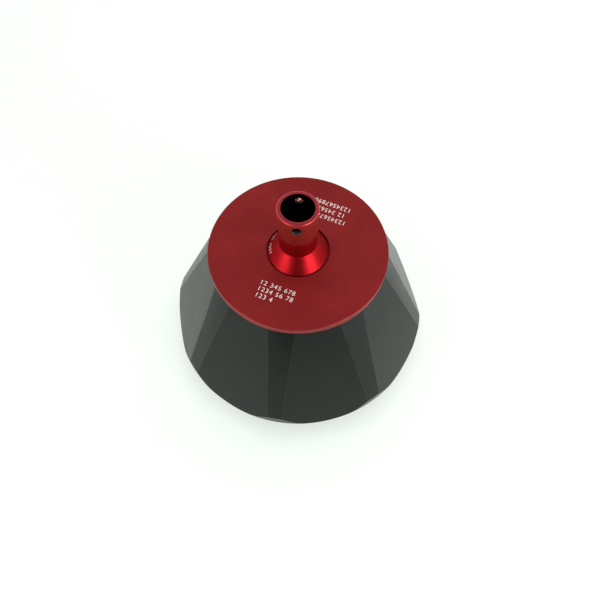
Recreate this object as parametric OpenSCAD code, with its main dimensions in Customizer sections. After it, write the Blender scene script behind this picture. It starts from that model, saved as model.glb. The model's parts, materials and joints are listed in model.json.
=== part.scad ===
// Fixed angle rotor for a laboratory ultracentrifuge.
// The titanium body holds eight round-bottomed tube cavities that lean out at a fixed angle.
// A red anodised lid closes it, and a hollow knob screws the lid down.
// Origin: centre of the base, on the surface that the rotor stands on. +Z is the spin axis.

/* [Body outside] */
// Radius of the widest part of the body, the rim
rim_r = 105; // [103:0.1:110]
// Height of the upright band's lower edge above the base
rim_low_z = 25; // [21:0.5:27]
// Height of the upright band round the rim
rim_band_h = 9; // [7:0.5:12]
// How far the bevel under the band comes in
rim_bevel_w = 2.5; // [1:0.1:4]
// Height of that bevel
rim_bevel_h = 8; // [5:0.5:10]
// Height of the seat that the lid rests on
seat_z = 114.8; // [111:0.1:118]
// Radius of the flat foot that the rotor stands on
foot_r = 60; // [56:0.5:66]
// Number of tube cavities, and of the flats milled between them
places = 8; // [6:1:8]
// Depth of each flat's cut into the body at the lid seat
flat_cut_seat = 2; // [1.8:0.1:2.3]
// Depth of each flat's cut into the body at the top of the rim band
flat_cut_rim = 5.9; // [5:0.1:7.4]

/* [Tube cavities] */
// Angle of the cavities from upright
tube_tilt = 23.5; // [22:0.5:25]
// Radius of each cavity
tube_r = 12.8; // [12:0.1:13]
// Length of each cavity's straight wall, from its mouth to its round bottom
tube_run = 76; // [70:0.5:80]
// Chamfer round each cavity's mouth
mouth_chamfer = 0.6; // [0.3:0.1:0.7]
// Distance from each cavity's mouth to the ledge round the dished floor
mouth_land = 0.8; // [0.7:0.1:1.5]

/* [Well under the lid] */
// Radius of the well that the lid's spigot drops into
well_r = 60.4; // [58:0.1:62]
// Width of the seat round the well, on which the lid rests
seat_w = 5.9; // [5:0.1:7]
// Depth of the well's outer ledge below the seat
ledge_depth = 3.8; // [2.5:0.1:4.5]
// Width of that ledge
ledge_w = 1.2; // [1:0.1:2]
// Radius of the pit in the middle of the dished floor
pit_r = 22; // [20:0.5:26]
// Gap between the pit's floor and the end of the knob's shank
pit_gap = 1.2; // [0.8:0.1:2]

/* [Drive end] */
// Radius of the drive hole in the underside
drive_r = 19; // [17:0.5:22]
// Depth of the drive hole from the relieved underside
drive_depth = 20.5; // [18:0.5:24]
// Radius of the pocket above the drive hole, where the drive pins stand
pocket_r = 13; // [12:0.5:15]
// Depth of that pocket
pocket_depth = 14; // [12:0.5:16]
// Chamfer round the drive hole's mouth
drive_chamfer = 1.2; // [0.5:0.1:2]
// Radius of a drive pin
pin_r = 2.5; // [2:0.1:3]
// Length of a drive pin
pin_len = 16; // [14:0.5:20]
// Length of a drive pin that is pressed into the body
pin_set = 8; // [6:0.5:10]
// Distance from the spin axis to each drive pin
pin_pitch_r = 8.5; // [7.5:0.1:9]
// Depth of the relief inside the foot, which keeps the speed disk off the bench
relief_depth = 1.5; // [1:0.1:2.5]
// Width of the foot round the relief
foot_w = 10; // [6:0.5:14]
// Gap between the overspeed disk and the foot
disk_gap = 3; // [1:0.5:6]
// Width of the overspeed disk's ring
disk_w = 20; // [12:0.5:22]
// Thickness of the overspeed disk
disk_t = 0.3; // [0.2:0.05:0.5]

/* [Lid] */
// Thickness of the lid at its edge
lid_edge_t = 5.2; // [4.8:0.1:6.5]
// Bevel round the lid's top edge
lid_bevel = 0.3; // [0.2:0.1:1.2]
// How far the lid's top falls from its edge to the recess
lid_dish = 2.2; // [1:0.1:2.5]
// Thickness of the lid over the tubes, near its edge
lid_plate_t = 5.5; // [5:0.1:6.2]
// Gap between the end of the spigot and the ledge
spigot_rise = 0.3; // [0.2:0.1:0.6]
// Radial gap between the spigot and the well
spigot_gap = 0.2; // [0.1:0.05:0.4]
// Width of the spigot
spigot_w = 4.2; // [3:0.1:6]
// Depth of the recess that takes the knob's flange, below the lid's top edge
recess_depth = 4.7; // [4.2:0.1:5.5]
// Gap between the knob's flange and the recess wall
recess_gap = 1.1; // [0.8:0.1:2]
// Thickness of the metal beside and under the recess
recess_wall = 3.5; // [3:0.1:4.5]
// Thickness of the boss round the lid's centre hole
boss_wall = 6.4; // [5:0.1:8]
// Length of the centre hole, from the recess floor to the end of the boss
boss_len = 13.3; // [12.5:0.1:15]
// Width of the seat between the well and the lid's O-ring
seal_land = 0.6; // [0.5:0.1:0.8]
// Thickness of the rubber of the lid's O-ring
seal_d = 2.4; // [2:0.1:2.6]

/* [Knob] */
// Height of the knob's top above the lid
knob_h = 48.2; // [45:0.1:52]
// Radius of the plain neck
neck_r = 13.9; // [13.2:0.1:15]
// Height of the neck's foot above the lid, where the cone starts
neck_low = 9; // [8:0.1:11]
// How far the grip stands out from the neck
grip_over = 0.2; // [0.1:0.1:1]
// Height of the grip's lower edge above the lid
grip_low = 24.5; // [22:0.5:28]
// How far the lip round the knob's top stands out from the grip
lip_over = 0.3; // [0.2:0.1:1]
// Height of the lip
lip_h = 3; // [2.5:0.1:4]
// Radius of the rounding on the lip's top edge
lip_round = 1.2; // [0.8:0.1:1.6]
// Radius of the flange at the foot of the cone
flange_r = 22.4; // [21:0.1:23]
// Height of the upright edge of the flange
flange_edge = 0.6; // [0.4:0.1:1]
// Thickness of the neck's wall, round the hole down the knob
knob_wall = 2.2; // [2:0.1:3]
// Depth of the hole down the knob
hollow_depth = 42; // [38:0.5:44]
// Radius of the cross holes that take the tommy bar
cross_r = 2.8; // [2.4:0.1:3.2]
// Depth of the cross holes' middle below the knob's top
cross_drop = 7.5; // [7:0.1:9]
// Width of the countersink round each cross hole
cross_sink = 0.8; // [0.4:0.1:1]
// Direction of the cross holes, from the -Y axis towards +X
cross_turn = 6; // [0:1:90]
// Radius of the shank that passes through the lid
shank_r = 12; // [11.5:0.1:12.5]
// Radial running gap between the shank and the lid
shank_gap = 0.08; // [0.05:0.01:0.1]

/* [Screw] */
// Radius of the stud's thread
stud_r = 8; // [7.5:0.1:8.5]
// Radial gap between the stud and the threaded hole in the body
stud_gap = 0.1; // [0.05:0.01:0.3]
// Length of the stud inside the knob
stud_set = 14; // [10:0.5:18]
// Thread pitch
pitch = 2; // [1.5:0.5:2.5]
// Turns of the knob from tight to free
turns = 4.25; // [3.25:1:4.25]
// Depth of the threaded hole in the body
thread_depth = 22; // [18:0.5:26]
// Thickness of the thrust washer
washer_t = 1.5; // [1:0.1:2]
// How far the flange's edge overhangs the washer
washer_under = 1.2; // [0.5:0.1:2]
// Thickness of the retaining ring
ring_t = 1.2; // [1:0.1:1.5]
// How far the retaining ring stands out from the shank
ring_over = 2.2; // [1.6:0.1:2.8]
// Depth of the retaining ring's groove in the shank
ring_groove = 0.9; // [0.7:0.1:1.2]
// Gap between the ends of the retaining ring, as an angle
ring_open = 30; // [20:5:40]
// Length of the shank below the retaining ring
shank_tail = 1; // [0.8:0.1:1.5]
// Thickness of the rubber of the knob's O-ring
knob_seal_d = 2; // [1.8:0.1:2.2]
// Distance of the knob's O-ring above the end of the lid's boss
knob_seal_rise = 1.8; // [1.4:0.1:2]

/* [Hidden] */
$fn = 96;

// a cut runs this far past the face it opens
over = 1;
// gap at the end of the knob's travel
play = 0.1;
// gap round a pressed pin
press_gap = 0.02;
// angle from one cavity to the next
step = 360 / places;

// the body's outline, from the bench up
rim_top_z = rim_low_z + rim_band_h;
rim_low_r = rim_r - rim_bevel_w;
seat_r = well_r + seat_w;
flat_seat_r = seat_r - flat_cut_seat;
flat_rim_r = rim_r - flat_cut_rim;
flat_tilt = atan((flat_rim_r - flat_seat_r) / (seat_z - rim_top_z));

// the drive end, from the bench up
relief_z = relief_depth;
relief_r = foot_r - foot_w;
disk_out_r = relief_r - disk_gap;
disk_in_r = disk_out_r - disk_w;
drive_top_z = relief_z + drive_depth;
pocket_top_z = drive_top_z + pocket_depth;
pin_top_z = pocket_top_z + pin_set;
pin_hole_r = pin_r + press_gap;

// the lid, and the recess for the knob's flange
lid_r = seat_r;
lid_top_z = seat_z + lid_edge_t;
ledge_z = seat_z - ledge_depth;
plate_z = lid_top_z - lid_plate_t;
spigot_r = well_r - spigot_gap;
spigot_in_r = spigot_r - spigot_w;
spigot_z = ledge_z + spigot_rise;
seal_r = seal_d / 2;
seal_ring_r = well_r + seal_land + seal_r;
recess_r = flange_r + recess_gap;
recess_z = lid_top_z - recess_depth;
hub_r = recess_r + recess_wall;
hub_z = recess_z - recess_wall;
bore_r = shank_r + shank_gap;
boss_r = bore_r + boss_wall;
boss_end_z = recess_z - boss_len;

// the knob, from its top down
knob_top_z = lid_top_z + knob_h;
hollow_r = neck_r - knob_wall;
grip_r = neck_r + grip_over;
lip_r = grip_r + lip_over;
lip_low_z = knob_top_z - lip_h;
cross_z = knob_top_z - cross_drop;
flange_z = recess_z + washer_t;
washer_r = flange_r - washer_under;
knob_seal_r = knob_seal_d / 2;
knob_seal_z = boss_end_z + knob_seal_rise;
knob_seal_ring_r = bore_r - knob_seal_r;
rise = pitch * turns;
ring_top_z = boss_end_z - rise - play;
ring_z = ring_top_z - ring_t;
ring_out_r = shank_r + ring_over;
groove_r = shank_r - ring_groove;
shank_end_z = ring_z - shank_tail;
stud_top_z = shank_end_z + stud_set;

// the dished floor under the lid is square to the cavities, and the pit in its middle takes the screw
pit_z = shank_end_z - pit_gap;
stud_end_z = pit_z - rise + play;
ledge_in_r = well_r - ledge_w;
dish_pit_z = ledge_z - (ledge_in_r - pit_r) * tan(tube_tilt);
mouth_r = ledge_in_r - mouth_land - tube_r * cos(tube_tilt);
mouth_z = ledge_z - (ledge_in_r - mouth_r) * tan(tube_tilt);
tube_foot_r = mouth_r + tube_run * sin(tube_tilt);
tube_foot_z = mouth_z - tube_run * cos(tube_tilt);

// a ring turned from a box section
module ring(r_in, r_out, z_low, z_high) {
    rotate_extrude()
        translate([r_in, z_low])
            square([r_out - r_in, z_high - z_low]);
}

// copies round the spin axis, the first on +X
module around(n = places) {
    for (i = [0 : n - 1])
        rotate([0, 0, i * 360 / n])
            children();
}

// one cavity, leaning out from the spin axis: a straight bore with a round bottom
module cavity() {
    translate([tube_foot_r, 0, tube_foot_z])
        rotate([0, -tube_tilt, 0]) {
            sphere(r = tube_r);
            cylinder(r = tube_r, h = tube_run + tube_r);
            translate([0, 0, tube_run - mouth_chamfer])
                cylinder(r1 = tube_r, r2 = tube_r + mouth_chamfer + over, h = mouth_chamfer + over);
        }
}

// what a flat takes off: everything outside a leaning plane, midway between two cavities
module flat_cut() {
    reach = rim_r + seat_z;
    rotate([0, 0, step / 2])
        translate([flat_rim_r, 0, rim_top_z])
            rotate([0, -flat_tilt, 0])
                translate([0, -reach, -reach])
                    cube(2 * reach);
}

module rotor_body_turned() {
    rotate_extrude()
        polygon([
            [drive_r + drive_chamfer, relief_z], [relief_r, relief_z], [relief_r, 0], [foot_r, 0],
            [rim_low_r, rim_low_z - rim_bevel_h], [rim_r, rim_low_z], [rim_r, rim_top_z],
            [seat_r, seat_z], [well_r, seat_z], [well_r, ledge_z], [ledge_in_r, ledge_z],
            [pit_r, dish_pit_z], [pit_r, pit_z], [0, pit_z], [0, pocket_top_z],
            [pocket_r, pocket_top_z], [pocket_r, drive_top_z], [drive_r, drive_top_z],
            [drive_r, relief_z + drive_chamfer]
        ]);
}

module rotor_body() {
    color("#3b3c3a")
        difference() {
            rotor_body_turned();
            around() flat_cut();
            around() cavity();
            translate([0, 0, pit_z - thread_depth])
                cylinder(r = stud_r + stud_gap, h = thread_depth + over);
            for (side = [0, 180])
                rotate([0, 0, side])
                    translate([pin_pitch_r, 0, pocket_top_z - over])
                        cylinder(r = pin_hole_r, h = pin_set + over);
        }
}

// a pin on +X (side 0) or -X (side 180), pressed up into the pocket's ceiling
module drive_pin(side) {
    color("#b9bcc0")
        rotate([0, 0, side])
            translate([pin_pitch_r, 0, pin_top_z - pin_len])
                cylinder(r = pin_r, h = pin_len);
}

module overspeed_disk() {
    color("#20242a")
        ring(disk_in_r, disk_out_r, relief_z - disk_t, relief_z);
}

// the plate, its spigot and the boss round its centre hole, with the seal's groove facing the seat
module lid() {
    color("#8a2626")
        difference() {
            rotate_extrude()
                polygon([
                    [bore_r, boss_end_z], [boss_r, boss_end_z], [boss_r, hub_z], [hub_r, hub_z],
                    [hub_r, plate_z], [spigot_in_r, plate_z], [spigot_in_r, spigot_z], [spigot_r, spigot_z],
                    [spigot_r, seat_z], [lid_r, seat_z], [lid_r, lid_top_z - lid_bevel],
                    [lid_r - lid_bevel, lid_top_z], [recess_r, lid_top_z - lid_dish], [recess_r, recess_z],
                    [bore_r, recess_z]
                ]);
            ring(seal_ring_r - seal_r, seal_ring_r + seal_r, seat_z - over, seat_z + seal_d);
        }
}

module lid_o_ring() {
    color("#1c1c1c")
        rotate_extrude()
            translate([seal_ring_r, seat_z + seal_r])
                circle(r = seal_r, $fn = 32);
}

module thrust_washer() {
    color("#d8d4c4")
        ring(bore_r, washer_r, recess_z, recess_z + washer_t);
}

module knob_turned() {
    rotate_extrude()
        difference() {
            union() {
                polygon([
                    [0, shank_end_z], [shank_r, shank_end_z], [shank_r, flange_z],
                    [flange_r, flange_z], [flange_r, flange_z + flange_edge],
                    [neck_r, lid_top_z + neck_low], [neck_r, lid_top_z + grip_low],
                    [grip_r, lid_top_z + grip_low], [grip_r, lip_low_z],
                    [lip_r, lip_low_z + lip_over], [lip_r, knob_top_z - lip_round],
                    [lip_r - lip_round, knob_top_z - lip_round], [lip_r - lip_round, knob_top_z],
                    [0, knob_top_z]
                ]);
                translate([lip_r - lip_round, knob_top_z - lip_round])
                    circle(r = lip_round, $fn = 48);
            }
            translate([0, knob_top_z - hollow_depth])
                square([hollow_r, hollow_depth + over]);
        }
}

// one wall's cross hole with its countersink, pointing along -Y
module cross_hole() {
    rotate([90, 0, 0]) {
        cylinder(r = cross_r, h = lip_r + over);
        translate([0, 0, grip_r - cross_sink])
            cylinder(r1 = cross_r, r2 = cross_r + 2 * cross_sink, h = 2 * cross_sink);
    }
}

module knob() {
    color("#a01820")
        difference() {
            knob_turned();
            for (side = [0, 180])
                translate([0, 0, cross_z])
                    rotate([0, 0, cross_turn + side])
                        cross_hole();
            ring(groove_r, shank_r + over, ring_z, ring_top_z);
            ring(knob_seal_ring_r - knob_seal_r, shank_r + over,
                 knob_seal_z - knob_seal_r, knob_seal_z + knob_seal_r);
            translate([0, 0, shank_end_z - over])
                cylinder(r = stud_r, h = stud_set + over);
        }
}

module stud() {
    color("#9a9da1")
        translate([0, 0, stud_end_z])
            cylinder(r = stud_r, h = stud_top_z - stud_end_z);
}

// an open ring, sprung into the shank's groove
module retaining_ring() {
    color("#8f9296")
        difference() {
            ring(groove_r, ring_out_r, ring_z, ring_top_z);
            linear_extrude(height = 3 * ring_top_z, center = true)
                polygon([
                    [0, 0],
                    2 * ring_out_r * [cos(ring_open / 2), sin(ring_open / 2)],
                    2 * ring_out_r * [cos(ring_open / 2), -sin(ring_open / 2)]
                ]);
        }
}

module knob_o_ring() {
    color("#1c1c1c")
        rotate_extrude()
            translate([knob_seal_ring_r, knob_seal_z])
                circle(r = knob_seal_r, $fn = 32);
}

rotor_body();
drive_pin(0);  // drive_pin_1
drive_pin(180);  // drive_pin_2
overspeed_disk();
lid();
lid_o_ring();
thrust_washer();
knob();
stud();
retaining_ring();
knob_o_ring();
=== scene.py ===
"""Looks of the fixed angle rotor: its finishes, the stud's thread, the engraved figures, and the floor, the
light and the camera."""
import json
import math

import bmesh
import bpy
from mathutils import Euler, Matrix, Vector


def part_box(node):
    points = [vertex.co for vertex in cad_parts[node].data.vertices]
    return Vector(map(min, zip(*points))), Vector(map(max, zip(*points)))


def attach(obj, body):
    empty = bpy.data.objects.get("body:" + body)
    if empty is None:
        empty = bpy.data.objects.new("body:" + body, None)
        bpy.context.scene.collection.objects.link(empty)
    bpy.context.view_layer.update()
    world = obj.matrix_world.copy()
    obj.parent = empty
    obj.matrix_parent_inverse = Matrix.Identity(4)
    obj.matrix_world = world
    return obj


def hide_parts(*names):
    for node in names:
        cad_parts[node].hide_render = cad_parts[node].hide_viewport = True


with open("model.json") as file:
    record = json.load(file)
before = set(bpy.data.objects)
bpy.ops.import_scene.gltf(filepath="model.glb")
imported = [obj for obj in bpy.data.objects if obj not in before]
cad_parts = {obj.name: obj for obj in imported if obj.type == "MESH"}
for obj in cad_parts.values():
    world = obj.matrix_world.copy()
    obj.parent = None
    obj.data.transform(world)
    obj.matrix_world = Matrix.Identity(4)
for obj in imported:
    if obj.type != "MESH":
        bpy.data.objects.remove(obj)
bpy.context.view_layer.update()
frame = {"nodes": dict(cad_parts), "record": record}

MM = 0.001

# ---------------------------------------------------------------- sizes, from the frame
# the high corner of a round piece's box has the piece's outer radius as its x and the piece's top as its z
_, LID_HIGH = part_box("lid")
_, KNOB_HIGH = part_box("knob")
_, DISK_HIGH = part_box("overspeed_disk")
STUD_LOW, STUD_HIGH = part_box("stud")
RECORD = frame["record"]
MOUNTS = {mount["name"]: mount for mount in RECORD["mounts"]}
CAVITIES = sorted(name for name in MOUNTS if name.startswith("tube_cavity"))
CAVITY = MOUNTS[CAVITIES[0]]
CAVITY_TILT = math.acos(CAVITY["axis"][2])
CROSS = MOUNTS["cross_hole"]
PITCH = RECORD["behaviour"]["couplings"][0]["ratio"] * 2 * math.pi

# ---------------------------------------------------------------- sizes that only the part's source has
# heights are from the lid's top
LID_BEVEL = 0.3 * MM
LID_DISH = 2.2 * MM
LID_RECESS = 23.5 * MM
KNOB_FLANGE = 22.4 * MM
KNOB_CONE_FOOT = -2.6 * MM
KNOB_NECK = 13.9 * MM
KNOB_NECK_FOOT = 9 * MM
GRIP_FOOT = 24.5 * MM
HOLLOW = 11.7 * MM
HOLLOW_FLOOR = 6.2 * MM
LIP = 3 * MM
CROSS_SINK = 0.8 * MM
STUD_GAP = 0.1 * MM
TAPPED_HOLE = STUD_HIGH.x + STUD_GAP
MOUTH_CHAMFER = 0.6 * MM

# ---------------------------------------------------------------- sizes of the figures and the print
# the first two are shares of the font's size
FONT_HEIGHT = 0.73
STROKE_TRIM = 0.006
FIGURE_PROUD = 0.02 * MM
LID_FIGURE = 3.8 * MM
LID_SPACING = 1.15
KNOB_FIGURE = 2.8 * MM
KNOB_FIGURE_INSET = 1.2 * MM
KNOB_FIGURE_START = math.radians(150)
KNOB_FIGURE_STEP = math.radians(7)
CAVITY_FIGURE = 5 * MM
CAVITY_FIGURE_HALF = 1.5 * MM
CAVITY_FIGURE_RADIUS = 31 * MM
SPEED_SECTORS = 30
SPEED_BAND = 10 * MM

# ---------------------------------------------------------------- node sockets and settings
# the places of a MapRange's inputs, and of a Mix's inputs and output for colours
VALUE, FROM_LOW, FROM_HIGH, TO_LOW, TO_HIGH = range(5)
SHARE, FIRST, SECOND, MIXED = 0, 6, 7, 2
SMOOTH = {"interpolation_type": "SMOOTHSTEP"}
COLOURS = {"data_type": "RGBA"}


# ---------------------------------------------------------------- small helpers
def linear(hex_colour):
    """An sRGB hex colour as the linear colour that a node takes."""
    parts = [int(hex_colour[i:i + 2], 16) / 255 for i in (1, 3, 5)]
    return [p / 12.92 if p <= 0.04045 else ((p + 0.055) / 1.055) ** 2.4 for p in parts] + [1.0]


def add(tree, kind, inputs, out=0, **settings):
    """Adds a node with its settings. Its inputs, by name or place, are outputs to link or plain values."""
    made = tree.nodes.new("ShaderNode" + kind)
    for name, value in settings.items():
        setattr(made, name, value)
    for place, value in inputs.items():
        if isinstance(value, bpy.types.NodeSocket):
            tree.links.new(value, made.inputs[place])
        else:
            made.inputs[place].default_value = value
    return made.outputs[out] if made.outputs else None


def new_material(name):
    """A material with an empty tree."""
    made = bpy.data.materials.new(name)
    made.use_nodes = True
    made.node_tree.nodes.clear()
    return made, made.node_tree


def new_object(name, data):
    """An object in the scene."""
    made = bpy.data.objects.new(name, data)
    bpy.context.scene.collection.objects.link(made)
    return made


def turn_z(angle):
    """A turn round the spin axis."""
    return Matrix.Rotation(angle, 4, "Z")


def round_axis(tree, place):
    """A place's radius from the spin axis, its height and its angle round the axis."""
    x, y, z = (add(tree, "SeparateXYZ", {0: place}, axis) for axis in "XYZ")
    flat = add(tree, "CombineXYZ", {0: x, 1: y})
    radius = add(tree, "VectorMath", {0: flat}, "Value", operation="LENGTH")
    angle = add(tree, "Math", {0: y, 1: x}, operation="ARCTAN2")
    return radius, z, angle


def edge_mask(tree, reach, sharpest):
    """1 on edges and 0 elsewhere. Within reach of an edge the rounded normal turns away from the true one,
    and the cosine between them falls from that of a flat face to that of the sharpest edge."""
    flat = 0.9995
    rounded = add(tree, "Bevel", {"Radius": reach}, samples=6)
    true = add(tree, "NewGeometry", {}, "Normal")
    cosine = add(tree, "VectorMath", {0: rounded, 1: true}, "Value", operation="DOT_PRODUCT")
    return add(tree, "MapRange", {VALUE: cosine, FROM_LOW: flat, FROM_HIGH: sharpest}, **SMOOTH)


def lathe_rings(tree, along, spacing):
    """A lathe's marks: a wave between -1 and 1 that repeats at each spacing along a length."""
    turn = add(tree, "Math", {0: along, 1: 2 * math.pi / spacing}, operation="MULTIPLY")
    return add(tree, "Math", {0: turn}, operation="SINE")


# ---------------------------------------------------------------- finishes
def satin_black_coat():
    """Titanium, turned and milled, under a thin black lubricating coat. It is satin: black seen squarely and
    grey at a glance, with ridges painted paler, partly as worn coat and partly as a painted highlight, a few
    chips, and a thread cut in the middle hole."""
    made, tree = new_material("satin_black_coat_on_titanium")
    place = add(tree, "TexCoord", {}, "Object")
    radius, height, angle = round_axis(tree, place)
    cloud = add(tree, "TexNoise", {"Vector": place, "Scale": 1 / (18 * MM), "Detail": 3.0})
    grain = add(tree, "TexNoise", {"Vector": place, "Scale": 1 / (0.35 * MM)})
    patch = add(tree, "TexNoise", {"Vector": place, "Scale": 1 / (3 * MM)})
    cell = add(tree, "TexVoronoi", {"Vector": place, "Scale": 1 / (24 * MM)}, "Distance")
    drift = add(tree, "MapRange", {VALUE: cloud, FROM_LOW: 0.35, FROM_HIGH: 0.65}, **SMOOTH)
    coat = add(tree, "Mix", {SHARE: drift, FIRST: linear("#0a0c0a"), SECOND: linear("#0f110f")},
               MIXED, **COLOURS)
    # the ridges are painted paler in patches, partly as lost coat and partly as a painted highlight, and a
    # chip about a millimetre across lies in each cell's middle
    ridge = edge_mask(tree, 0.4 * MM, sharpest=0.985)
    rubbed_and_highlight = add(tree, "MapRange", {VALUE: patch, FROM_LOW: 0.35, FROM_HIGH: 0.6, TO_LOW: 0.1, TO_HIGH: 0.6},
                 **SMOOTH)
    wear_and_highlight = add(tree, "Math", {0: ridge, 1: rubbed_and_highlight}, operation="MULTIPLY")
    chip = add(tree, "MapRange", {VALUE: cell, FROM_LOW: 0.022, FROM_HIGH: 0.03, TO_LOW: 0.5, TO_HIGH: 0.0},
               **SMOOTH)
    bare_and_highlight = add(tree, "Math", {0: wear_and_highlight, 1: chip}, operation="MAXIMUM")
    # painted highlight: the pale grey on the ridges is partly chipped and worn coat, partly light caught on
    # the edges
    colour = add(tree, "Mix", {SHARE: bare_and_highlight, FIRST: coat, SECOND: linear("#6f726c")}, MIXED, **COLOURS)
    roughness = add(tree, "MapRange", {VALUE: cloud, FROM_LOW: 0.3, FROM_HIGH: 0.7,
                                       TO_LOW: 0.28, TO_HIGH: 0.34})
    # the thread in the middle hole: a saw, with flanks of 45 degrees, that climbs one pitch a turn
    climb = add(tree, "Math", {0: height, 1: PITCH}, operation="DIVIDE")
    turned_by = add(tree, "Math", {0: angle, 1: 2 * math.pi}, operation="DIVIDE")
    phase = add(tree, "Math", {0: climb, 1: turned_by}, operation="SUBTRACT")
    flank = add(tree, "Math", {0: phase, 1: 0.5}, operation="PINGPONG")
    in_hole = add(tree, "MapRange", {VALUE: radius, FROM_LOW: TAPPED_HOLE + 0.2 * MM,
                                     FROM_HIGH: TAPPED_HOLE + 0.4 * MM, TO_LOW: PITCH, TO_HIGH: 0.0})
    thread = add(tree, "Math", {0: flank, 1: in_hole}, operation="MULTIPLY")
    grain_depth = 0.004 * MM
    relief = add(tree, "Math", {0: grain, 1: grain_depth, 2: thread}, operation="MULTIPLY_ADD")
    normal = add(tree, "Bump", {"Height": relief, "Distance": 1.0})
    shader = add(tree, "BsdfPrincipled", {"Base Color": colour, "Roughness": roughness, "IOR": 1.33,
                                          "Specular Tint": linear("#f4fff6"), "Normal": normal})
    add(tree, "OutputMaterial", {"Surface": shader})
    return made


def etched_red_lid():
    """Aluminium, faced on a lathe, etched and anodised red: a dull even red with no sharp reflections. The
    upright edge is smoother and shinier, and the corner above it is painted pale in patches, partly as metal
    rubbed through and partly as a painted highlight of the lit edge."""
    made, tree = new_material("etched_red_anodised_aluminium")
    place = add(tree, "TexCoord", {}, "Object")
    radius, height, _ = round_axis(tree, place)
    cloud = add(tree, "TexNoise", {"Vector": place, "Scale": 1 / (25 * MM)})
    grain = add(tree, "TexNoise", {"Vector": place, "Scale": 1 / (0.3 * MM)})
    patch = add(tree, "TexNoise", {"Vector": place, "Scale": 1 / (9 * MM), "Detail": 3.0})
    drift = add(tree, "MapRange", {VALUE: cloud, FROM_LOW: 0.35, FROM_HIGH: 0.65}, **SMOOTH)
    dye = add(tree, "Mix", {SHARE: drift, FIRST: linear("#8f1c1d"), SECOND: linear("#972021")},
              MIXED, **COLOURS)
    # radius and height together pass this sum only on the bevel
    corner = add(tree, "Math", {0: radius, 1: height})
    bevel = LID_HIGH.x + LID_HIGH.z - LID_BEVEL
    on_bevel = add(tree, "MapRange", {VALUE: corner, FROM_LOW: bevel - 0.05 * MM,
                                      FROM_HIGH: bevel + 0.1 * MM})
    # painted highlight: the pale patches on the bevel are partly rubbed metal, partly light caught on the
    # edge
    rubbed_and_highlight = add(tree, "MapRange", {VALUE: patch, FROM_LOW: 0.3, FROM_HIGH: 0.7, TO_HIGH: 0.1}, **SMOOTH)
    bare_and_highlight = add(tree, "Math", {0: on_bevel, 1: rubbed_and_highlight}, operation="MULTIPLY")
    colour = add(tree, "Mix", {SHARE: bare_and_highlight, FIRST: dye, SECOND: linear("#d9c8c0")}, MIXED, **COLOURS)
    roughness = add(tree, "MapRange", {VALUE: radius, FROM_LOW: LID_HIGH.x - 0.4 * MM,
                                       FROM_HIGH: LID_HIGH.x - 0.1 * MM, TO_LOW: 0.5, TO_HIGH: 0.42})
    # lathe marks 0.6 mm apart, coarser than the real ones so that they show
    rings = lathe_rings(tree, radius, 0.6 * MM)
    ring_depth, grain_depth = 0.0006 * MM, 0.01 * MM
    fine = add(tree, "Math", {0: rings, 1: ring_depth}, operation="MULTIPLY")
    relief = add(tree, "Math", {0: grain, 1: grain_depth, 2: fine}, operation="MULTIPLY_ADD")
    normal = add(tree, "Bump", {"Height": relief, "Distance": 1.0})
    shader = add(tree, "BsdfPrincipled", {"Base Color": colour, "Roughness": roughness, "Metallic": 0.55,
                                          "Normal": normal})
    add(tree, "OutputMaterial", {"Surface": shader})
    return made


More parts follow.
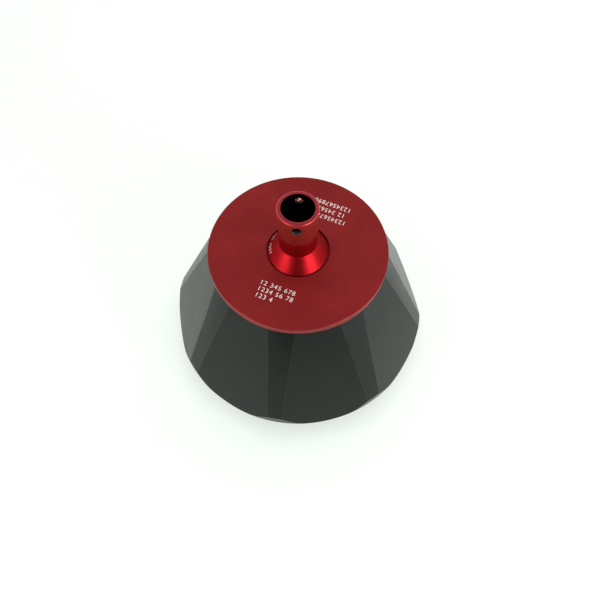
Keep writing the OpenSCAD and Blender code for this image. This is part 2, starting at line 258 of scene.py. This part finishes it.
def turned_red_knob():
    """Aluminium, turned and anodised red: the lip, neck and cone are bright and the grip is bead blasted
    dull. The hollow is painted near black as painted shade in its depth, and the cross holes, drilled after
    the anodising, show grey metal that is darkened as painted shade."""
    made, tree = new_material("turned_red_anodised_aluminium")
    place = add(tree, "TexCoord", {}, "Object")
    radius, height, _ = round_axis(tree, place)
    grain = add(tree, "TexNoise", {"Vector": place, "Scale": 1 / (0.3 * MM)})
    cloud = add(tree, "TexNoise", {"Vector": place, "Scale": 1 / (6 * MM), "Detail": 3.0})
    grip_low, grip_high = LID_HIGH.z + GRIP_FOOT, KNOB_HIGH.z - LIP
    above = add(tree, "MapRange", {VALUE: height, FROM_LOW: grip_low - 0.05 * MM,
                                   FROM_HIGH: grip_low + 0.05 * MM})
    on_grip = add(tree, "MapRange", {VALUE: height, FROM_LOW: grip_high - 0.1 * MM,
                                     FROM_HIGH: grip_high + 0.2 * MM, TO_LOW: above, TO_HIGH: 0.0})
    # inside the hollow: below its edge, above the shank under its floor, and within its wall
    deep = add(tree, "MapRange", {VALUE: height, FROM_LOW: KNOB_HIGH.z - 0.7 * MM,
                                  FROM_HIGH: KNOB_HIGH.z - 0.3 * MM, TO_LOW: 1.0, TO_HIGH: 0.0})
    hollow_floor = LID_HIGH.z + HOLLOW_FLOOR
    off_shank = add(tree, "MapRange", {VALUE: height, FROM_LOW: hollow_floor - 1.2 * MM,
                                       FROM_HIGH: hollow_floor - 0.7 * MM, TO_HIGH: deep})
    in_hollow = add(tree, "MapRange", {VALUE: radius, FROM_LOW: HOLLOW + 0.05 * MM,
                                       FROM_HIGH: HOLLOW + 0.15 * MM, TO_LOW: off_shank, TO_HIGH: 0.0})
    # inside the cross holes and on their countersinks
    from_hole = add(tree, "VectorMath", {0: place, 1: CROSS["pos_m"]}, operation="SUBTRACT")
    side = add(tree, "VectorMath", {0: from_hole, 1: CROSS["axis"]}, operation="CROSS_PRODUCT")
    off_axis = add(tree, "VectorMath", {0: side}, "Value", operation="LENGTH")
    hole_edge = CROSS["dims"]["r_mm"] * MM + CROSS_SINK
    drilled = add(tree, "MapRange", {VALUE: off_axis, FROM_LOW: hole_edge - 0.05 * MM,
                                     FROM_HIGH: hole_edge + 0.1 * MM, TO_LOW: 1.0, TO_HIGH: 0.0})
    past_wall = add(tree, "MapRange", {VALUE: radius, FROM_LOW: HOLLOW + 0.05 * MM,
                                       FROM_HIGH: HOLLOW + 0.1 * MM, TO_HIGH: drilled})
    bright = add(tree, "MapRange", {VALUE: cloud, FROM_LOW: 0.3, FROM_HIGH: 0.7})
    polished = add(tree, "Mix", {SHARE: bright, FIRST: linear("#ac121b"), SECOND: linear("#b6161e")},
                   MIXED, **COLOURS)
    dull = add(tree, "Mix", {SHARE: bright, FIRST: linear("#a02e28"), SECOND: linear("#ac342d")},
               MIXED, **COLOURS)
    red = add(tree, "Mix", {SHARE: on_grip, FIRST: polished, SECOND: dull}, MIXED, **COLOURS)
    # the lip is painted paler all over, and the edges of the lip and of the cross holes still more: partly
    # handling wear, partly a painted highlight and sheen on the rounded lip and on the edges
    lip_wear_and_sheen, edge_wear_and_highlight = 0.35, 0.55
    on_lip = add(tree, "MapRange", {VALUE: height, FROM_LOW: grip_high, FROM_HIGH: KNOB_HIGH.z - 1 * MM})
    corners = edge_mask(tree, 0.4 * MM, sharpest=0.93)
    edges = add(tree, "Math", {0: corners, 1: above}, operation="MULTIPLY")
    edges_rubbed_and_highlight = add(tree, "MapRange", {VALUE: edges, TO_HIGH: edge_wear_and_highlight})
    rubbed_and_highlight = add(tree, "Math", {0: on_lip, 1: lip_wear_and_sheen, 2: edges_rubbed_and_highlight}, operation="MULTIPLY_ADD",
                 use_clamp=True)
    worn_and_highlight = add(tree, "Mix", {SHARE: rubbed_and_highlight, FIRST: red, SECOND: linear("#f07078")}, MIXED, **COLOURS)
    # painted shade: the bare drilled metal in the cross holes and countersinks is darkened to a dark grey
    drilled_metal_shaded = add(tree, "Mix", {SHARE: past_wall, FIRST: worn_and_highlight, SECOND: linear("#3c3837")}, MIXED, **COLOURS)
    # painted shade: the inside of the hollow is near black, and rougher
    colour = add(tree, "Mix", {SHARE: in_hollow, FIRST: drilled_metal_shaded, SECOND: linear("#020101")}, MIXED, **COLOURS)
    hollow_adds = 0.3
    blasted = add(tree, "MapRange", {VALUE: on_grip, TO_LOW: 0.42, TO_HIGH: 0.55})
    roughness = add(tree, "Math", {0: in_hollow, 1: hollow_adds, 2: blasted}, operation="MULTIPLY_ADD")
    # lathe marks 0.5 mm apart, coarser than the real ones so that they show
    rings = lathe_rings(tree, height, 0.5 * MM)
    ring_depth, grit_depth = 0.0008 * MM, 0.03 * MM
    fine = add(tree, "Math", {0: rings, 1: ring_depth}, operation="MULTIPLY")
    grit = add(tree, "Math", {0: grain, 1: on_grip}, operation="MULTIPLY")
    relief = add(tree, "Math", {0: grit, 1: grit_depth, 2: fine}, operation="MULTIPLY_ADD")
    normal = add(tree, "Bump", {"Height": relief, "Distance": 1.0})
    shader = add(tree, "BsdfPrincipled", {"Base Color": colour, "Roughness": roughness, "Metallic": 0.9,
                                          "Normal": normal})
    add(tree, "OutputMaterial", {"Surface": shader})
    return made


def turned_steel():
    """Stainless steel, turned: bright, with fine rings."""
    made, tree = new_material("turned_stainless_steel")
    place = add(tree, "TexCoord", {}, "Object")
    _, height, _ = round_axis(tree, place)
    cloud = add(tree, "TexNoise", {"Vector": place, "Scale": 1 / (2 * MM)})
    colour = add(tree, "Mix", {SHARE: cloud, FIRST: linear("#a9abad"), SECOND: linear("#bdbfc1")},
                 MIXED, **COLOURS)
    roughness = add(tree, "MapRange", {VALUE: cloud, FROM_LOW: 0.3, FROM_HIGH: 0.7,
                                       TO_LOW: 0.24, TO_HIGH: 0.34})
    normal = add(tree, "Bump", {"Height": lathe_rings(tree, height, 0.2 * MM), "Distance": 0.002 * MM})
    shader = add(tree, "BsdfPrincipled", {"Base Color": colour, "Metallic": 1.0, "Roughness": roughness,
                                          "Normal": normal})
    add(tree, "OutputMaterial", {"Surface": shader})
    return made


def seal_rubber():
    """Nitrile rubber, moulded and lightly greased: black, with a soft shine."""
    made, tree = new_material("greased_nitrile_rubber")
    place = add(tree, "TexCoord", {}, "Object")
    grain = add(tree, "TexNoise", {"Vector": place, "Scale": 1 / (0.4 * MM), "Detail": 3.0})
    colour = add(tree, "Mix", {SHARE: grain, FIRST: linear("#161616"), SECOND: linear("#222222")},
                 MIXED, **COLOURS)
    roughness = add(tree, "MapRange", {VALUE: grain, FROM_LOW: 0.3, FROM_HIGH: 0.7,
                                       TO_LOW: 0.4, TO_HIGH: 0.6})
    normal = add(tree, "Bump", {"Height": grain, "Distance": 0.02 * MM})
    shader = add(tree, "BsdfPrincipled", {"Base Color": colour, "Roughness": roughness, "IOR": 1.52,
                                          "Normal": normal})
    add(tree, "OutputMaterial", {"Surface": shader})
    return made


def turned_acetal():
    """Acetal, turned: cream white and waxy, with faint rings."""
    made, tree = new_material("turned_acetal")
    place = add(tree, "TexCoord", {}, "Object")
    radius, _, _ = round_axis(tree, place)
    cloud = add(tree, "TexNoise", {"Vector": place, "Scale": 1 / (5 * MM)})
    colour = add(tree, "Mix", {SHARE: cloud, FIRST: linear("#d8d4c4"), SECOND: linear("#dedacd")},
                 MIXED, **COLOURS)
    normal = add(tree, "Bump", {"Height": lathe_rings(tree, radius, 0.3 * MM), "Distance": 0.003 * MM})
    shader = add(tree, "BsdfPrincipled", {"Base Color": colour, "Roughness": 0.4, "IOR": 1.48,
                                          "Normal": normal})
    add(tree, "OutputMaterial", {"Surface": shader})
    return made


def speed_film():
    """Polyester film, printed with black and silver sectors that a light cell counts: glossy and lightly
    scuffed."""
    made, tree = new_material("printed_polyester_film")
    place = add(tree, "TexCoord", {}, "Object")
    radius, _, angle = round_axis(tree, place)
    scuffs = add(tree, "TexNoise", {"Vector": place, "Scale": 1 / (1.5 * MM), "Detail": 4.0})
    sector = add(tree, "Math", {0: angle, 1: SPEED_SECTORS / (2 * math.pi)}, operation="MULTIPLY")
    part_of_sector = add(tree, "Math", {0: sector}, operation="FRACT")
    silver = add(tree, "MapRange", {VALUE: part_of_sector, FROM_LOW: 0.49, FROM_HIGH: 0.51})
    band_edge = DISK_HIGH.x - SPEED_BAND
    printed = add(tree, "MapRange", {VALUE: radius, FROM_LOW: band_edge - 0.1 * MM,
                                     FROM_HIGH: band_edge + 0.1 * MM, TO_HIGH: silver})
    colour = add(tree, "Mix", {SHARE: printed, FIRST: linear("#17181a"), SECOND: linear("#b9bcbe")},
                 MIXED, **COLOURS)
    metallic = add(tree, "MapRange", {VALUE: printed, TO_HIGH: 0.8})
    roughness = add(tree, "MapRange", {VALUE: scuffs, FROM_LOW: 0.3, FROM_HIGH: 0.7,
                                       TO_LOW: 0.2, TO_HIGH: 0.35})
    shader = add(tree, "BsdfPrincipled", {"Base Color": colour, "Metallic": metallic, "Roughness": roughness,
                                          "IOR": 1.6})
    add(tree, "OutputMaterial", {"Surface": shader})
    return made


def engraved_aluminium():
    """Engraving that cuts through the red anodising: pale bare aluminium, dull in its grooves."""
    made, tree = new_material("engraved_bare_aluminium")
    place = add(tree, "TexCoord", {}, "Object")
    grain = add(tree, "TexNoise", {"Vector": place, "Scale": 1 / (0.5 * MM)})
    colour = add(tree, "Mix", {SHARE: grain, FIRST: linear("#f0e2dc"), SECOND: linear("#fff8f4")},
                 MIXED, **COLOURS)
    normal = add(tree, "Bump", {"Height": grain, "Distance": 0.02 * MM})
    shader = add(tree, "BsdfPrincipled", {"Base Color": colour, "Metallic": 0.2, "Roughness": 0.5,
                                          "Normal": normal})
    add(tree, "OutputMaterial", {"Surface": shader})
    return made


# ---------------------------------------------------------------- pieces
def new_piece(name, mesh, finish, body):
    """A piece that the solids don't have, or not with this detail. It moves with its body."""
    made = new_object(name, mesh)
    mesh.materials.clear()
    mesh.materials.append(finish)
    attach(made, body)
    return made


def threaded_rod(name, radius, pitch, low, high):
    """A rod whose whole length is threaded, with both ends chamfered to the thread's root."""
    sides, steps = 96, 10
    depth = 0.6 * pitch
    root = radius - depth
    # shares of half a pitch: a flat root, then a flank, and the rest is a flat crest
    root_flat, flank = 0.1, 0.75
    rows = int((high - low) / pitch + 1) * steps
    mesh = bmesh.new()
    grid = []
    for row in range(rows + steps + 1):
        phase = abs((row / steps) % 1 - 0.5) * 2
        crest = root + depth * min(1.0, max(0.0, (phase - root_flat) / flank))
        ring = []
        for side in range(sides):
            turn = side / sides
            z = low + pitch * (row / steps - 1 + turn)
            z = min(max(z, low), high)
            chamfer = root + min(z - low, high - z)
            reach = min(crest, chamfer)
            ring.append(mesh.verts.new((reach * math.cos(turn * 2 * math.pi),
                                        reach * math.sin(turn * 2 * math.pi), z)))
        grid.append(ring)
    for below, above in zip(grid, grid[1:]):
        for side in range(sides - 1):
            mesh.faces.new((below[side], below[side + 1], above[side + 1], above[side]))
    # the helix climbs one pitch a turn, so the last side joins the row one pitch up
    for row in range(len(grid) - 1 - steps):
        mesh.faces.new((grid[row][-1], grid[row + steps][0], grid[row + steps + 1][0], grid[row + 1][-1]))
    bmesh.ops.remove_doubles(mesh, verts=mesh.verts, dist=0.001 * MM)
    bmesh.ops.holes_fill(mesh, edges=[edge for edge in mesh.edges if edge.is_boundary])
    bmesh.ops.recalc_face_normals(mesh, faces=mesh.faces)
    made = bpy.data.meshes.new(name)
    mesh.to_mesh(made)
    mesh.free()
    return made


def figures(name, words_and_places, height, spacing=1.0):
    """Plain engraved figures. Each row of words stands on its place's XY plane, from its origin along X."""
    rows = bmesh.new()
    for words, place in words_and_places:
        curve = bpy.data.curves.new("figures", "FONT")
        curve.body = words
        curve.size = height / FONT_HEIGHT
        curve.space_character = spacing
        curve.offset = -STROKE_TRIM * curve.size
        curve.resolution_u = 4
        text = new_object("figures", curve)
        bpy.context.view_layer.update()
        shaped = text.evaluated_get(bpy.context.evaluated_depsgraph_get())
        row = bpy.data.meshes.new_from_object(shaped)
        row.transform(place)
        rows.from_mesh(row)
        bpy.data.objects.remove(text)
        bpy.data.curves.remove(curve)
        bpy.data.meshes.remove(row)
    made = bpy.data.meshes.new(name)
    rows.to_mesh(made)
    rows.free()
    return made


def on_cone(angle, radius, height, lean):
    """A place on a face that leans out by lean from level, with its Y towards the spin axis."""
    proud = Matrix.Translation((0, 0, FIGURE_PROUD))
    return (turn_z(angle) @ Matrix.Translation((radius, 0, height)) @ Matrix.Rotation(lean, 4, "Y") @ proud
            @ turn_z(math.pi / 2))


def lid_block(rows, turn, first, step):
    """Places rows of figures across a radius of the lid. The first row is at first from the axis, and each
    next one a step further out. A row is its words, and where they start along it in mm."""
    proud = LID_HIGH.z + FIGURE_PROUD
    return [(words, turn_z(turn) @ Matrix.Translation((start * MM, -first - i * step, proud)))
            for i, (words, start) in enumerate(rows)]


def let_down(mesh):
    """Lets flat figures down on to the lid's top, which falls evenly from its edge to the recess."""
    lid_edge = LID_HIGH.x - LID_BEVEL
    for vertex in mesh.vertices:
        vertex.co.z -= LID_DISH * (lid_edge - vertex.co.xy.length) / (lid_edge - LID_RECESS)
    return mesh


# ---------------------------------------------------------------- the object
FINISHES = {"body": satin_black_coat(), "lid": etched_red_lid(), "knob": turned_red_knob(),
            "steel": turned_steel(), "rubber": seal_rubber(), "washer": turned_acetal(),
            "disk": speed_film()}
ENGRAVED = engraved_aluminium()

for part in RECORD["subparts"]:
    node = frame["nodes"][part["node"]]
    node.data.materials.clear()
    node.data.materials.append(FINISHES[part["material_slot"]])

thread = threaded_rod("threaded_stud", STUD_HIGH.x, PITCH, STUD_LOW.z, STUD_HIGH.z)
stud = new_piece("threaded_stud", thread, FINISHES["steel"], "handle")
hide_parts("stud")

front_rows = lid_block((("12 345 678", -14.4), ("1234 56 78", -14), ("123 4", -13.5)),
                       turn=math.radians(-12.5), first=37.3 * MM, step=5.4 * MM)
back_rows = lid_block((("12345678 12345", -23.5), ("12 34567 8901234", -20.5), ("1234567890 12", -23)),
                      turn=math.radians(166), first=36.3 * MM, step=6.1 * MM)
for name, rows in (("lid_front_figures", front_rows), ("lid_back_figures", back_rows)):
    new_piece(name, let_down(figures(name, rows, LID_FIGURE, LID_SPACING)), ENGRAVED, "cover")

# one figure after another round the knob's cone, just inside the flange's edge
cone_lean = math.atan2(KNOB_NECK_FOOT - KNOB_CONE_FOOT, KNOB_FLANGE - KNOB_NECK)
mark_radius = KNOB_FLANGE - KNOB_FIGURE_INSET
mark_height = LID_HIGH.z + KNOB_CONE_FOOT + KNOB_FIGURE_INSET * math.tan(cone_lean)
knob_marks = []
for i, figure in enumerate("123 4567"):
    if figure != " ":
        turn = KNOB_FIGURE_START + i * KNOB_FIGURE_STEP
        knob_marks.append((figure, on_cone(turn, mark_radius, mark_height, cone_lean)))
new_piece("knob_figures", figures("knob_figures", knob_marks, KNOB_FIGURE), ENGRAVED, "handle")

# each cavity's number, on the dished floor beside its mouth
mouth_reach = CAVITY["dims"]["length_mm"] * MM / 2 + MOUTH_CHAMFER
mouth = Vector(CAVITY["pos_m"]) + Vector(CAVITY["axis"]) * mouth_reach
number_height = mouth.z - (mouth.x - CAVITY_FIGURE_RADIUS) * math.tan(CAVITY_TILT)
centred = Matrix.Translation((-CAVITY_FIGURE_HALF, 0, 0))
numbers = []
for i in range(len(CAVITIES)):
    turn = 2 * math.pi * i / len(CAVITIES)
    numbers.append((str(i + 1), on_cone(turn, CAVITY_FIGURE_RADIUS, number_height, -CAVITY_TILT) @ centred))
new_piece("cavity_numbers", figures("cavity_numbers", numbers, CAVITY_FIGURE), ENGRAVED, "rotor")

# ---------------------------------------------------------------- floor, light and camera
VIEW_TURN = math.radians(10.04)
VIEW_DOWN = math.radians(62.56)
VIEW = turn_z(VIEW_TURN)
EYE = (39.66 * MM, -215.99 * MM, 460.0 * MM)
FLOOR_FRONT, FLOOR_BACK, FLOOR_SIDE = -0.44, 3.0, 3.0
FLAG_FRONT, FLAG_SIDE, FLAG_LOW, FLAG_HIGH = -1.0, 0.5, -1.0, 0.9
CEILING_SIDE, CEILING_HIGH = 2.0, 1.8
FLOOR_GLOW = 0.6
SKY_LIGHT = 0.6


def rectangle(left, near, right, far):
    """A flat rectangle's corners, in order round it."""
    return [(left, near), (right, near), (right, far), (left, far)]


def card(name, corners, finish):
    """A flat card that belongs to the stage and not to the object."""
    mesh = bpy.data.meshes.new(name)
    mesh.from_pydata(corners, [], [tuple(range(len(corners)))])
    mesh.materials.append(finish)
    made = new_object(name, mesh)
    return made


def background_rays(tree):
    """1 for the rays that show the background, seen straight on, in gloss or through glass."""
    seen = add(tree, "LightPath", {}, "Is Camera Ray")
    for ray in ("Is Glossy Ray", "Is Transmission Ray"):
        seen = add(tree, "Math", {0: seen, 1: add(tree, "LightPath", {}, ray)}, operation="MAXIMUM")
    return seen


def white_floor():
    """White paper: matt and even, and glowing a little for the rays that show the background."""
    made, tree = new_material("white_paper_floor")
    place = add(tree, "TexCoord", {}, "Object")
    fibre = add(tree, "TexNoise", {"Vector": place, "Scale": 1 / (3 * MM), "Detail": 3.0})
    colour = add(tree, "Mix", {SHARE: fibre, FIRST: linear("#a6aba6"), SECOND: linear("#aaafaa")},
                 MIXED, **COLOURS)
    paper = add(tree, "BsdfDiffuse", {"Color": colour})
    strength = add(tree, "Math", {0: background_rays(tree), 1: FLOOR_GLOW}, operation="MULTIPLY")
    glow = add(tree, "Emission", {"Color": linear("#f9fff9"), "Strength": strength})
    both = add(tree, "AddShader", {0: paper, 1: glow})
    add(tree, "OutputMaterial", {"Surface": both})
    return made


def plain_glow(name, colour):
    """What a dim part of the room looks like in gloss: one even level."""
    made, tree = new_material(name)
    glow = add(tree, "Emission", {"Color": linear(colour), "Strength": 1.0})
    add(tree, "OutputMaterial", {"Surface": glow})
    return made


def soft_lamp(name, place, aim, size, watts, shows=True):
    """A rectangular lamp, whose place and aim turn with the view. Gloss shows it unless shows is False."""
    lamp = bpy.data.lights.new(name, "AREA")
    lamp.shape = "RECTANGLE"
    lamp.size, lamp.size_y = size
    lamp.energy = watts
    made = new_object(name, lamp)
    made.location = VIEW @ Vector(place)
    made.rotation_euler = (VIEW @ Vector(aim) - made.location).to_track_quat("-Z", "Y").to_euler()
    made.visible_glossy = shows


floor_corners = rectangle(-FLOOR_SIDE, FLOOR_FRONT, FLOOR_SIDE, FLOOR_BACK)
card("floor", [VIEW @ Vector((x, y, 0)) for x, y in floor_corners], white_floor())

# a dark cloth below the camera, and a dim ceiling: only gloss shows them
flag_corners = rectangle(-FLAG_SIDE, FLAG_LOW, FLAG_SIDE, FLAG_HIGH)
flag = card("front_flag", [VIEW @ Vector((x, FLAG_FRONT, z)) for x, z in flag_corners],
            plain_glow("black_cloth", "#202020"))
ceiling_corners = rectangle(-CEILING_SIDE, -CEILING_SIDE, CEILING_SIDE, CEILING_SIDE)
ceiling = card("ceiling", [(x, y, CEILING_HIGH) for x, y in ceiling_corners],
               plain_glow("grey_ceiling", "#808080"))
for hidden in (flag, ceiling):
    hidden.visible_camera = False
    hidden.visible_diffuse = False
    hidden.visible_shadow = False

soft_lamp("overhead_lamp", place=(0.1, 0.35, 1.4), aim=(0, 0, 0.08), size=(1.4, 1.4), watts=12, shows=False)
soft_lamp("left_lamp", place=(-0.9, -0.75, 0.3), aim=(0, 0, 0.15), size=(0.5, 0.6), watts=3)
soft_lamp("right_lamp", place=(0.85, -0.8, 0.3), aim=(0, 0, 0.15), size=(0.5, 0.6), watts=5.8)

world = bpy.data.worlds.new("white_studio")
world.use_nodes = True
world.node_tree.nodes.clear()
seen = background_rays(world.node_tree)
strength = add(world.node_tree, "MapRange", {VALUE: seen, TO_LOW: SKY_LIGHT, TO_HIGH: 1.0})
sky = add(world.node_tree, "Background", {"Color": linear("#ffffff"), "Strength": strength})
add(world.node_tree, "OutputWorld", {"Surface": sky})
bpy.context.scene.world = world

camera = new_object("camera", bpy.data.cameras.new("camera"))
camera.data.sensor_width = 36
camera.data.lens = 33
camera.data.clip_start = 0.01
camera.location = EYE
camera.rotation_euler = Euler((math.pi / 2 - VIEW_DOWN, 0, VIEW_TURN))
bpy.context.scene.camera = camera
bpy.context.scene.view_settings.view_transform = "Standard"
